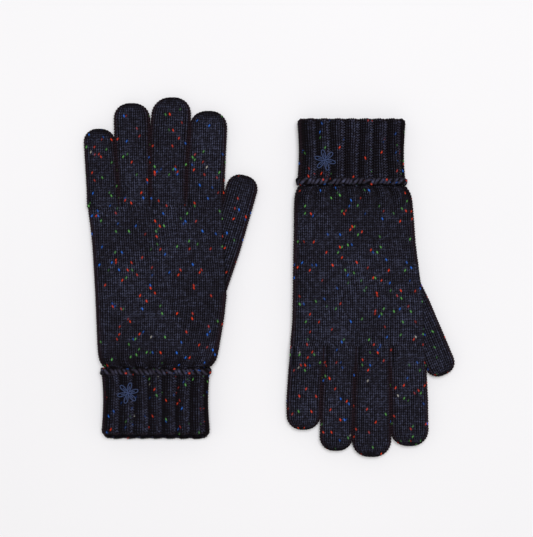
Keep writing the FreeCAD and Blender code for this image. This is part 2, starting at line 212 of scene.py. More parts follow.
# The cuff, on y from the neck to the wrist: the height of its middle; the inner layer; the turned
# layer with its waist, its rolled fold, and how much further its lower side reaches at the mouth.
CUFF_MIDDLE = 7.9
INNER_TOP, INNER_END = 1.0, -50.0
INNER_HALF_WIDTH, INNER_HALF_HEIGHT = 36.6, 2.9
TURNED_TOP, TURNED_FOLD = -4.4, -47.4
TURNED_HALF_WIDTH, TURNED_HALF_HEIGHT = 39.4, 6.1
WAIST = 1.1
FOLD_ROLL = 2.6
LOWER_REACH = {"left": 4.4, "right": 0.8}

# How far along the hand the cuff's rib fades out.
RIB_REACH = {"left": 13.0, "right": 25.0}

# The cast-on edge: its place on y, the slot that it goes round, its strands' turns round each other and
# the points to one turn, and the radii of the two strands and the core.
EDGE_PLACE = -3.9
EDGE_HALF_WIDTH, EDGE_HALF_HEIGHT = 40.0, 6.2
EDGE_TURNS = 24
EDGE_POINTS = 12
EDGE_RADII = [[1.35], [1.35], [1.5]]

# The motif: petals, points along a stitch, the petals' half width, their turn from the x axis, the
# thread's radius and its height over the table.
PETALS = 6
STITCH_POINTS = 27
PETAL_HALF_WIDTH = 1.75
PETAL_TURN = 0.26
THREAD_RADIUS = 0.36
THREAD_HEIGHT = 15.75

# The twist of the wool and of the thread: one turn in so many millimetres. The length of yarn from one
# point of a loop to the next, and by how much the twist moves on from course to course; the same for
# the edge's strands and the motif's thread.
WOOL_TWIST = 2.4
THREAD_TWIST = 0.9
LOOP_STEP, COURSE_SHIFT = 0.85, 1.37
STRAND_STEP, STRAND_SHIFT = 0.6, 2.1

# The width of one spot of each pattern: the wool's mottle, its slow drift of dye and its fibres, the
# fuzz of the near-black shell of painted shade under the knitting, and the faint cloud in the card that
# the gloves lie on.
MOTTLE = 2.381
DYE_DRIFT = 38.46
FIBRES = 0.3846
INNER_FUZZ = 1.111
CARD_CLOUD = 333.3

# The view: in metres the width seen and the height over the table where it is seen, and in millimetres
# the lens and its sensor.
SEEN_WIDTH = 0.4028
SEEN_HEIGHT = 0.007
LENS = 85.0
SENSOR = 36.0


# ---------------------------------------------------------------- places on the two gloves


def joint_place(name):
    """The record's pivot of one joint, in metres."""
    joint = next(j for j in frame["joints"] if j["name"] == name)
    return np.array(joint["pos_m"])


def neck_of(glove):
    """The middle of the neck, where the cuff meets the hand, on the table, in millimetres."""
    cuff_low, cuff_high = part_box(f"{glove}_inner_cuff")
    hand_low, hand_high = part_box(f"{glove}_hand")
    y = hand_low[1] if glove == "left" else hand_high[1]
    return np.array([(cuff_low[0] + cuff_high[0]) / 2, y, 0.0]) / MM


def to_world(glove, points):
    """Lay millimetres to metres in the frame: neck plus x, plus or minus y, plus z."""
    turned = points * np.array([1.0, TOWARDS_FINGERS[glove], 1.0])
    return (turned + neck_of(glove)) * MM


def to_lay(glove, place):
    """A place in metres to the glove's own lay millimetres."""
    return (np.asarray(place) / MM - neck_of(glove)) * np.array([1.0, TOWARDS_FINGERS[glove], 1.0])


def hinges(glove, digit):
    """Root and bend of a digit on the lay, and its heading and across directions."""
    first = "spread" if digit == "thumb" else "knuckle"
    root = to_lay(glove, joint_place(f"{glove}_{digit}_{first}"))
    bend = to_lay(glove, joint_place(f"{glove}_{digit}_bend"))
    heading = bend[:2] - root[:2]
    heading = heading / np.linalg.norm(heading)
    across = np.array([heading[1], -heading[0]])
    return root[:2], bend[:2], heading, across


# ---------------------------------------------------------------- soft tubes


def smoothstep(low, high, value):
    """0 below low, 1 above high, and 3t^2 - 2t^3 between them."""
    t = np.clip((value - low) / (high - low), 0.0, 1.0)
    return t * t * (3.0 - 2.0 * t)


def slot_outline(u, half_width, half_height):
    """A slot walked by arc length from its right side over the top: quarter turn, straight, quarter
    turn, then the same below. u is the share of the way round."""
    half_height = np.minimum(half_height, half_width * 0.98)
    quarter = math.pi * half_height / 2
    straight = 2 * (half_width - half_height)
    u = u % 1.0
    below = u >= 0.5
    walked = (u - 0.5 * below) * 2 * (2 * quarter + straight)
    first = walked < quarter
    last = walked > quarter + straight
    angle = np.where(first, walked, walked - straight) / half_height
    middle = ~(first | last)
    angle = np.where(middle, math.pi / 2, angle)
    shift = np.where(first, 1.0, np.where(last, -1.0, 0.0)) * (half_width - half_height)
    along_top = half_width - half_height - (walked - quarter)
    x = np.where(middle, along_top, shift + half_height * np.cos(angle))
    z = half_height * np.sin(angle)
    sign = np.where(below, -1.0, 1.0)
    return x * sign, z * sign


def tube(stations, across, shaping=None):
    """A surface over (u, s): at the way s along the stations stands a slot of their half width and half
    height, u round it, set on their centre. Stations are rows of s, x, y, z, half width and height."""

    def surface(u, s):
        u, s = np.broadcast_arrays(u, s)
        x, y, z, half_width, half_height = (
            np.interp(s, stations[:, 0], stations[:, column]) for column in range(1, 6)
        )
        # past the last station the tube runs straight on
        past = np.maximum(s - stations[-1, 0], 0.0) + np.minimum(s - stations[0, 0], 0.0)
        heading = stations[-1, 1:4] - stations[-2, 1:4]
        heading = heading / (np.linalg.norm(heading) + 1e-9)
        sideways, upward = slot_outline(u, half_width, half_height)
        points = np.stack(
            [
                x + sideways * across[0] + past * heading[0],
                y + sideways * across[1] + past * heading[1],
                z + upward,
            ],
            axis=-1,
        )
        return shaping(points) if shaping else points

    return surface


def with_normals(surface, u, s):
    """The surface's points and their outward normals, from the cross product of small steps in u and s,
    turned so that the upper side's look up."""
    here = surface(u, s)
    along_u = surface(u + 0.002, s) - surface(u - 0.002, s)
    along_s = surface(u, s + 0.15) - surface(u, s - 0.15)
    normals = np.cross(along_s, along_u)
    normals /= np.linalg.norm(normals, axis=-1, keepdims=True) + 1e-9
    outward = np.sum(normals[..., 2] * (here[..., 2] - here[..., 2].mean()))
    return here, normals * np.sign(outward)


def hand_tube(glove):
    """The hand from neck to fingers: slots between the two edges of the outline, puffed up from the
    thin neck, thinning again to the fingers, with three faint grooves between the fingers at its end,
    and its underside lifted where the thumb is tucked in. The slots lie inside the outline by half the
    fabric's thickness, and by less near the fingers, so that hand and fingers are equally wide."""
    table = np.array(OUTLINE[glove])
    y = np.linspace(0.0, HAND_END + 2.0, 240)
    low = np.interp(y, table[:, 0], table[:, 1])
    high = np.interp(y, table[:, 0], table[:, 2])
    kernel = np.ones(13) / 13
    for edge in (low, high):
        padded = np.pad(edge, 6, mode="reflect", reflect_type="odd")
        edge[:] = np.convolve(padded, kernel, "valid")
    puff = smoothstep(-2.5, 5.5, y)
    thin = smoothstep(92.0, HAND_END - 2.0, y)
    half_height = NECK_HALF + (PALM_HALF - NECK_HALF) * puff - END_HALF_LOSS * thin
    middle = NECK_MIDDLE + (PALM_MIDDLE - NECK_MIDDLE) * puff - END_MIDDLE_LOSS * thin
    inset = 1.0 - 0.5 * smoothstep(95.0, HAND_END, y)
    stations = np.column_stack(
        [y, (low + high) / 2, y, middle, (high - low) / 2 - FABRIC * inset, half_height]
    )
    root, _, heading, across = hinges(glove, "thumb")
    under, _, outer, _ = THUMB_EDGES[glove]
    half_room, room_middle = (outer - under) / 2 + SEAT_AIR, (outer + under) / 2
    gaps = finger_gaps(glove)

    def shaping(points):
        x, y, z = points[..., 0], points[..., 1], points[..., 2]
        middle = np.interp(y, stations[:, 0], stations[:, 3])
        groove = sum(np.exp(-(((x - gap) / 2.3) ** 2)) for gap in gaps)
        depth = smoothstep(HAND_END - 7.0, HAND_END + 1.0, y) * GROOVE_DEPTH[glove]
        z = middle + (z - middle) * (1.0 - depth * np.clip(groove, 0.0, 1.0))
        along = (x - root[0]) * heading[0] + (y - root[1]) * heading[1]
        aside = (x - root[0]) * across[0] + (y - root[1]) * across[1]
        aside = np.abs(aside - room_middle)
        reach = np.where(along > 0.0, aside, np.hypot(along, aside))
        lift = 1.0 - smoothstep(half_room, half_room + SEAT_FADE, reach)
        lift = lift * smoothstep(*SEAT_BEGINS, y)
        top = middle + np.interp(y, stations[:, 0], stations[:, 5])
        z = z + lift * (top - z) * SEAT_SHARE
        return np.stack([x, y, z], axis=-1)

    return tube(stations, (1.0, 0.0), shaping)


def finger_gaps(glove):
    """x of the three gaps between fingers where they leave the hand."""
    return [FINGER_EDGES[glove][finger][0][0][2] for finger in FINGERS[:-1]]


def digit_tube(glove, digit):
    """A digit from inside the hand to its tip: a slot tube between its edges, whose last part closes
    in plan as |a|^p + |w|^p = 1 with p the tip's power, and in height as a rounder curve. Where fingers
    leave the hand their slots are squared, the height's share of its full value raised to a power below
    one, so that they look like one fabric until they part. The thumb starts at half its height, far
    under the hand. Returns the surface, the whole way along it, and how far along it the root is."""
    root, _, heading, across = hinges(glove, digit)
    middle = DIGITS[digit][0] / 2 + DIGIT_RISE
    half_height = middle - FABRIC
    if digit == "thumb":
        under, beside, outer, tip = THUMB_EDGES[glove]
        table = np.array(
            [
                (THUMB_START, under + 3.0, outer - 3.4),
                (-9, under, outer - 2.0),
                (20, under, outer - 0.4),
                (55, beside, outer),
                (80, beside, outer),
            ]
        )
        base, first, root_at = root, THUMB_START, 0.0
    else:
        rows, tip = FINGER_EDGES[glove][digit]
        table = np.array(rows, dtype=float)
        base, heading, across = np.zeros(2), np.array([0.0, 1.0]), np.array([1.0, 0.0])
        first, root_at = HAND_END, root[1]
    end = tip - FABRIC
    near_tip = np.interp(end - 12.0, table[:, 0], table[:, 2] - table[:, 1])
    cap = near_tip / 2 - FABRIC * 0.8
    turn = np.linspace(0.0, TIP_TURN, 60)
    straight = np.linspace(first, end - cap, 60)[:-1]
    a = np.concatenate([straight, end - cap + np.sin(turn) ** (2 / TIP_POWER) * cap])
    closing = np.concatenate([np.ones(59), np.cos(turn) ** (2 / TIP_POWER)])
    low, high = (np.interp(a, table[:, 0], table[:, column]) for column in (1, 2))
    w = ((high - low) / 2 - FABRIC * 0.45) * closing
    h = np.concatenate([np.full(59, half_height), half_height * np.cos(turn) ** 0.62])
    if digit == "thumb":
        h = h * (0.5 + 0.5 * smoothstep(THUMB_START + 2.0, THUMB_START + 20.0, a))
    h = np.minimum(h, w * 0.9)
    centre = (low + high) / 2
    step = np.hypot(np.diff(a), np.hypot(np.diff(w), np.diff(h)) * 0.8)
    s = np.concatenate([[0.0], np.cumsum(step)])
    x = base[0] + a * heading[0] + centre * across[0]
    y = base[1] + a * heading[1] + centre * across[1]
    stations = np.column_stack([s, x, y, np.full(len(a), middle), w, h])

    def shaping(points):
        x, y, z = points[..., 0], points[..., 1], points[..., 2]
        parted = smoothstep(PARTING[glove] - PARTING_WAY, PARTING[glove], y)
        square = ROOT_SQUARENESS * (1.0 - parted)
        share = np.clip(np.abs(z - middle) / half_height, 1e-6, 1.0)
        z = middle + np.sign(z - middle) * half_height * share ** (1.0 - square)
        return np.stack([x, y, z], axis=-1)

    fitted = tube(stations, across) if digit == "thumb" else tube(stations, across, shaping)
    return fitted, s[-1], float(np.interp(root_at, a, s))


def cuff_tube(glove, which):
    """A cuff from the hand's end towards the wrist. The inner one is a flat tube. The turned one is
    wider, waisted by 1 mm at its middle, and rolls in at its fold by a little more than a quarter turn;
    the left glove's lower layer reaches further at the mouth."""
    if which == "inner":
        y = np.linspace(INNER_TOP, INNER_END, 60)
        stations = np.column_stack(
            [
                INNER_TOP - y,
                y * 0,
                y,
                y * 0 + CUFF_MIDDLE,
                y * 0 + INNER_HALF_WIDTH,
                y * 0 + INNER_HALF_HEIGHT,
            ]
        )
        return tube(stations, (1.0, 0.0)), INNER_TOP - INNER_END
    y = np.linspace(TURNED_TOP, TURNED_FOLD, 80)
    share = (y - TURNED_TOP) / (TURNED_FOLD - TURNED_TOP)
    half_width = TURNED_HALF_WIDTH - WAIST * np.sin(math.pi * share)
    half_height = np.full(80, TURNED_HALF_HEIGHT)
    turn = np.linspace(0.0, math.pi * 0.62, 30)[1:]
    rolled_in = FOLD_ROLL * (1 - np.cos(turn))
    y = np.concatenate([y, TURNED_FOLD - FOLD_ROLL * np.sin(turn)])
    half_width = np.concatenate([half_width, half_width[-1] - rolled_in * 0.7])
    half_height = np.concatenate([half_height, TURNED_HALF_HEIGHT - rolled_in * 0.75])
    step = np.hypot(np.diff(y), np.diff(half_height))
    s = np.concatenate([[0.0], np.cumsum(step)])

    def shaping(points):
        x, y, z = points[..., 0], points[..., 1], points[..., 2]
        reach = 1.0 - smoothstep(-48.0, -30.0, y)
        lower = 1.0 - smoothstep(4.0, 11.0, z)
        middle = 1.0 - smoothstep(35.0, 42.0, np.abs(x))
        return np.stack([x, y - LOWER_REACH[glove] * reach * lower * middle, z], axis=-1)

    stations = np.column_stack([s, y * 0, y, y * 0 + CUFF_MIDDLE, half_width, half_height])
    return tube(stations, (1.0, 0.0), shaping), s[-1]


# ---------------------------------------------------------------- yarn


def rib_wave(wale):
    """+1 on the two knit wales of each four and -1 on the two purl wales, with soft changes."""
    wave = np.sin(2 * math.pi * (wale + 0.5) / 4)
    return np.tanh(2.6 * wave) / math.tanh(2.6)


def around_yarn(angle, outward, beside):
    """Unit steps from a yarn's middle to its sides: cos of the angle outward plus sin of it beside."""
    outward, beside = outward[..., None, :], beside[..., None, :]
    return np.cos(angle)[:, None] * outward + np.sin(angle)[:, None] * beside


def knitted(surface, wales, rows, spacing, relief, rng, unevenness=0.12):
    """Yarn rings, one a course, each looped once a wale. Along a loop t runs 0 to 2 pi: sideways goes
    t/2pi + LEAN sin 2t wales, upwards RISE cos t courses, outwards -d cos 2t, so that the legs lie in
    front of the heads and feet. Ribs lift knit wales, sink purl wales and turn their loops over. They
    draw wales together by a sine of their place, and squeeze is its slope, which keeps the yarn's
    thickness the same. Slow sines let wales and courses wander.
    Returns vertices (row, sample, side, xyz), how far each is on a rolled side, and how far it stands
    out of the fabric, from 0 deep to 1 proud; the yarn material paints shade from both."""
    samples = wales * SAMPLES
    k = np.arange(samples)
    t = 2 * math.pi * k / SAMPLES
    wale = k / SAMPLES + LEAN * np.sin(2 * t)
    rise = RISE * np.cos(t)
    wave = rib_wave(k / SAMPLES)
    rows = np.asarray(rows, dtype=float)[:, None]
    s = (rows + 0.5 + rise[None, :]) * spacing
    strength = relief(s)
    phase = 2 * math.pi * (wale[None, :] - 0.5) / 4
    gather = RIB_GATHER * strength * np.sin(phase)
    squeeze = 1.0 + RIB_GATHER * math.pi / 2 * strength * np.cos(phase)
    u = (wale[None, :] + gather + 0 * s) / wales
    swing = rng.uniform(0.0, 2 * math.pi, 6)
    drift = 0.22 * np.sin(s / 13.0 + swing[0]) * np.sin(6 * math.pi * u + swing[1])
    drift = drift + 0.06 * np.sin(s / 5.1 + swing[2]) * np.sin(14 * math.pi * u + swing[3])
    drift = drift * (0.35 if wales < 40 else 1.0)
    sag = 0.3 * np.sin(4 * math.pi * u + swing[4]) * np.sin(s / 11.0 + swing[5])
    fade = smoothstep(0.0, 6.0, s - s.min()) * smoothstep(0.0, 6.0, s.max() - s)
    u, s = u + drift * fade / wales, s + sag * fade
    wander = rng.normal(0.0, unevenness, (len(rows), wales))
    wander = np.repeat(wander, SAMPLES, axis=1)
    wander = (wander + np.roll(wander, 4, axis=1) + np.roll(wander, -4, axis=1)) / 3
    here, normal = with_normals(surface, u, s + wander * 0.5)
    facing = (1 - strength) + strength * wave[None, :]
    reach = np.linalg.norm(np.roll(here, -SAMPLES, axis=1) - here, axis=-1)
    reach = np.clip(reach / squeeze / FULL_WALE, 0.12, 1.0)
    lifted = RIB_LIFT * strength * wave[None, :]
    depth = -LOOP_DEPTH * np.cos(2 * t)[None, :] * facing * reach + lifted
    centre = here + normal * (depth + wander * 0.25)[..., None]
    radius = (YARN_RADIUS * reach)[..., None, None]
    tangent = np.roll(centre, -1, axis=1) - np.roll(centre, 1, axis=1)
    tangent /= np.linalg.norm(tangent, axis=-1, keepdims=True) + 1e-9
    beside = np.cross(tangent, normal)
    beside /= np.linalg.norm(beside, axis=-1, keepdims=True) + 1e-9
    outward = np.cross(beside, tangent)
    angle = 2 * math.pi * (np.arange(SIDES) + 0.25) / SIDES
    ring = around_yarn(angle, outward, beside)
    vertices = centre[..., None, :] + ring * radius
    # How far the surface faces sideways rather than up; the yarn material paints these sides browner
    # and darker as shade.
    edge = np.broadcast_to((1.0 - np.abs(normal[..., 2]))[..., None], vertices.shape[:3])
    # How far each point stands out of the fabric, leaving out the rib's own lift; the yarn material
    # paints the least proud parts darker, as the shade of the hollows.
    proud = ((vertices - here[..., None, :]) * normal[..., None, :]).sum(axis=-1)
    proud = proud - 1.1 * lifted[..., None]
    return vertices, edge, np.clip(0.5 + proud / 2.7, 0.0, 1.0)


def flecked(rows, wales, rng, share):
    """Colour and strength of the flecks spun into the yarn: a share of all loop legs gets one of four
    colours, with a strength from 0.2 to 1 at the leg's middle and 0.4 of that at one of its ends."""
    legs = rng.random((rows, wales, 2)) < share
    pick = rng.choice(len(FLECKS), size=(rows, wales, 2), p=FLECK_PARTS)
    strong = rng.uniform(0.2, 1.0, (rows, wales, 2)) * legs
    late = rng.random((rows, wales, 2)) < 0.5
    colour = np.array([linear(code) for code in FLECKS])[pick]
    spread = np.zeros((rows, wales, SAMPLES, 4))
    for leg, first in enumerate((1, 5)):
        for sample in (first, first + 1, first + 2):
            spread[:, :, sample, :3] = colour[:, :, leg]
            spread[:, :, sample, 3] = strong[:, :, leg]
        spread[:, :, first, 3] *= 0.4 * ~late[:, :, leg]
        spread[:, :, first + 2, 3] *= 0.4 * late[:, :, leg]
    return spread.reshape(rows, wales * SAMPLES, 4)


def grid_faces(rows, columns, close_rows, close_columns, start=0):
    """Quads over a grid of points, closed round rows or columns where asked, and each quad's corner
    grid places for the maps."""
    r = np.arange(rows if close_rows else rows - 1)
    c = np.arange(columns if close_columns else columns - 1)
    r, c = (grid.ravel() for grid in np.meshgrid(r, c, indexing="ij"))
    corner_r = np.stack([r, r + 1, r + 1, r], axis=1)
    corner_c = np.stack([c, c, c + 1, c + 1], axis=1)
    faces = start + (corner_r % rows) * columns + (corner_c % columns)
    return faces, corner_r, corner_c


def outward_sign(vertices, faces):
    """The sign of the volume that the faces enclose, by summing the tetrahedra to the middle."""
    corners = vertices[faces] - vertices.mean(axis=0)
    first = np.einsum("ij,ij->i", corners[:, 0], np.cross(corners[:, 1], corners[:, 2]))
    second = np.einsum("ij,ij->i", corners[:, 0], np.cross(corners[:, 2], corners[:, 3]))
    return 1.0 if first.sum() + second.sum() >= 0 else -1.0


def mesh_piece(name, vertices, faces, maps, twist, fleck, proud, indices, materials):
    """One object from whole arrays: vertices in metres, quads, the bake map and the yarn's own
    coordinates at the corners, fleck colours and proudness at the vertices, a material index a face."""
    mesh = bpy.data.meshes.new(name)
    mesh.vertices.add(len(vertices))
    mesh.vertices.foreach_set("co", vertices.astype(np.float32).ravel())
    mesh.loops.add(faces.size)
    mesh.loops.foreach_set("vertex_index", faces.astype(np.int32).ravel())
    mesh.polygons.add(len(faces))
    mesh.polygons.foreach_set("loop_start", np.arange(0, faces.size, 4, dtype=np.int32))
    mesh.polygons.foreach_set("loop_total", np.full(len(faces), 4, dtype=np.int32))
    mesh.polygons.foreach_set("use_smooth", np.ones(len(faces), dtype=bool))
    mesh.polygons.foreach_set("material_index", indices.astype(np.int32))
    mesh.update(calc_edges=True)
    layer = mesh.uv_layers.new(name="OFBake")
    layer.data.foreach_set("uv", maps.astype(np.float32).ravel())
    yarn = mesh.attributes.new("yarn", "FLOAT_VECTOR", "CORNER")
    yarn.data.foreach_set("vector", twist.astype(np.float32).ravel())
    spots = mesh.attributes.new("fleck", "FLOAT_COLOR", "POINT")
    spots.data.foreach_set("color", fleck.astype(np.float32).ravel())
    lift = mesh.attributes.new("proud", "FLOAT", "POINT")
    lift.data.foreach_set("value", proud.astype(np.float32).ravel())
    for material in materials:
        mesh.materials.append(material)
    piece = bpy.data.objects.new(name, mesh)
    bpy.context.scene.collection.objects.link(piece)
    return piece


def knit_piece(name, glove, surface, wales, rows, spacing, relief, seed, close_end=False, yarn=None):
    """A knitted tube over a near-black shell that paints the shade seen between the loops. The shell is
    a coarse grid of the same surface, a little inside it, drawn to a point at its end where close_end
    asks for it."""
    rng = np.random.default_rng(seed)
    loops, edge, proud = knitted(surface, wales, rows, spacing, relief, rng)
    courses, samples = len(rows), wales * SAMPLES
    vertices = loops.reshape(-1, 3)
    one, corner_k, corner_side = grid_faces(samples, SIDES, True, True)
    faces = (one[None] + np.arange(courses)[:, None, None] * samples * SIDES).reshape(-1, 4)
    sign = outward_sign(to_world(glove, loops[0].reshape(-1, 3)), one)
    course = np.repeat(np.arange(courses), len(one))[:, None]
    corner_k = np.tile(corner_k, (courses, 1))
    corner_side = np.tile(corner_side, (courses, 1))
    maps = np.stack(
        [corner_k / samples, 0.95 * (course + 0.04 + 0.92 * corner_side / SIDES) / courses], axis=-1
    )
    along = corner_k * LOOP_STEP + course * COURSE_SHIFT
    # How far each corner is on a rolled side, for the yarn material's painted side shade.
    side = edge.reshape(-1)[faces]
    twist = np.stack([along, corner_side / SIDES + 0.0 * along, side], axis=-1)
    fleck = np.repeat(flecked(courses, wales, rng, FLECK_SHARE), SIDES, axis=1).reshape(-1, 4)

    around, deep = wales, max(4, courses // 2 + 1)
    u = np.arange(around) / around
    s = np.linspace((rows[0] - 0.2) * spacing, (rows[-1] + 1.2) * spacing, deep)
    here, normal = with_normals(surface, u[None, :], s[:, None])
    sunk = relief(s)[:, None] * (rib_wave(u * WALES) - 1.0)[None, :] * 0.3
    shell = here - normal * (SHADE_SHELL_DEPTH - sunk)[..., None]
    if close_end:
        last = shell[-1].mean(axis=0)
        shell = np.concatenate([shell, (shell[-1:] * 0.02 + last * 0.98)], axis=0)
    shell_rows = len(shell)
    start = len(vertices)
    vertices = np.concatenate([vertices, shell.reshape(-1, 3)])
    shell_faces, corner_r, corner_c = grid_faces(shell_rows, around, False, True, start)
    shell_map = np.stack(
        [corner_c / around, 0.96 + 0.035 * corner_r / max(1, shell_rows - 1)], axis=-1
    )
    shell_sign = outward_sign(to_world(glove, vertices), shell_faces)
    vertices = to_world(glove, vertices)
    if sign < 0:
        faces, maps, twist = faces[:, ::-1], maps[:, ::-1], twist[:, ::-1]
    if shell_sign < 0:
        shell_faces, shell_map = shell_faces[:, ::-1], shell_map[:, ::-1]
    faces = np.concatenate([faces, shell_faces])
    maps = np.concatenate([maps, shell_map])
    twist = np.concatenate([twist, np.zeros((len(shell_faces), 4, 3))])
    fleck = np.concatenate([fleck, np.zeros((shell_rows * around, 4))])
    proud = np.concatenate([proud.ravel(), np.zeros(shell_rows * around)])
    indices = np.concatenate([np.zeros(len(faces) - len(shell_faces)), np.ones(len(shell_faces))])
    materials = [yarn or KNIT, SHADE_SHELL]
    return mesh_piece(name, vertices, faces, maps, twist, fleck, proud, indices, materials)


def strand(name, glove, paths, radii, sides, material, closed, lift=0.0):
    """Yarns or threads as round tubes along paths (n, points, xyz) on the lay, with a ring of sides at
    each point, set square to the path. Ends that don't close taper to a point. Lift is how much further
    a path's points stand out of the fabric, on the scale of proud, which sets their painted shade.
    Closed yarns get flecks."""
    paths = np.asarray(paths)
    count, length = paths.shape[:2]
    if closed:
        tangent = np.roll(paths, -1, axis=1) - np.roll(paths, 1, axis=1)
    else:
        tangent = np.gradient(paths, axis=1)
    tangent /= np.linalg.norm(tangent, axis=-1, keepdims=True) + 1e-9
    up = np.broadcast_to(np.array([0.03, 0.02, 1.0]), tangent.shape)
    beside = np.cross(tangent, up)
    beside /= np.linalg.norm(beside, axis=-1, keepdims=True) + 1e-9
    outward = np.cross(beside, tangent)
    angle = 2 * math.pi * np.arange(sides) / sides
    ring = around_yarn(angle, outward, beside)
    radius = np.full((count, length), radii, dtype=float)
    if not closed:
        radius[:, 0] *= 0.05
        radius[:, -1] *= 0.05
    loops = paths[..., None, :] + ring * radius[..., None, None]
    one, corner_k, corner_side = grid_faces(length, sides, closed, True)
    faces = (one[None] + np.arange(count)[:, None, None] * length * sides).reshape(-1, 4)
    vertices = to_world(glove, loops.reshape(-1, 3))
    number = np.repeat(np.arange(count), len(one))[:, None]
    corner_k = np.tile(corner_k, (count, 1))
    corner_side = np.tile(corner_side, (count, 1))
    maps = np.stack(
        [corner_k / length, (number + 0.04 + 0.92 * corner_side / sides) / count], axis=-1
    )
    along = corner_k * STRAND_STEP + number * STRAND_SHIFT
    # A slight painted side shade, the same all round each strand.
    slight_side_shade = 0.07 + 0.0 * corner_k
    twist = np.stack([along, corner_side / sides + 0.0 * number, slight_side_shade], axis=-1)
    if outward_sign(vertices, faces[: len(one)]) < 0:
        faces, maps, twist = faces[:, ::-1], maps[:, ::-1], twist[:, ::-1]
    lift = np.broadcast_to(np.asarray(lift, dtype=float), (count, length))
    # Painted shade: each strand is darker on its underside and where its lift is low.
    proud = np.clip(0.31 + lift[..., None] + 0.44 * np.cos(angle), 0.0, 1.0)
    fleck = np.zeros((count, length, sides, 4))
    if closed:
        spots = np.random.default_rng(77).choice(count * length, size=EDGE_FLECKS, replace=False)
        bright = np.array([(*linear(code), 0.8) for code in FLECKS[:3]])
        for side in (0, 1):
            fleck[spots // length, spots % length, spots % 3 + side] = bright[spots % 3]
    return mesh_piece(
        name,
        vertices,
        faces,
        maps,
        twist,
        fleck.reshape(-1, 4),
        proud.ravel(),
        np.zeros(len(faces)),
        [material],
    )


# ---------------------------------------------------------------- materials


def linear(code):
    """An sRGB hex colour as linear red, green and blue."""
    values = np.array([int(code[i : i + 2], 16) for i in (1, 3, 5)]) / 255
    return tuple(np.where(values <= 0.04045, values / 12.92, ((values + 0.055) / 1.055) ** 2.4))


def add(tree, kind, settings=None, links=None, stops=()):
    """One node: settings go to its sockets by name or number, or else to its own properties, links join
    other nodes' outputs to its sockets, and stops are the places and hex colours of a ramp."""
    made = tree.nodes.new(kind)
    for key, value in (settings or {}).items():
        if isinstance(key, int) or key in made.inputs:
            made.inputs[key].default_value = value
        else:
            setattr(made, key, value)
    for key, output in (links or {}).items():
        tree.links.new(output, made.inputs[key])
    if stops:
        steps = made.color_ramp.elements
        while len(steps) < len(stops):
            steps.new(0.5)
        for step, (place, code) in zip(steps, stops):
            step.position = place
            step.color = (*linear(code), 1.0)
    return made


def new_material(name, roughness, sheen, sheen_tint, specular):
    """A new material with one Principled shader. Returns the material, its tree and the shader."""
    material = bpy.data.materials.new(name)
    material.use_nodes = True
    tree = material.node_tree
    principled = tree.nodes["Principled BSDF"]
    principled.inputs["Roughness"].default_value = roughness
    principled.inputs["IOR"].default_value = 1.54
    principled.inputs["Specular IOR Level"].default_value = specular
    principled.inputs["Sheen Weight"].default_value = sheen
    principled.inputs["Sheen Roughness"].default_value = 0.55
    principled.inputs["Sheen Tint"].default_value = (*linear(sheen_tint), 1.0)
    return material, tree, principled


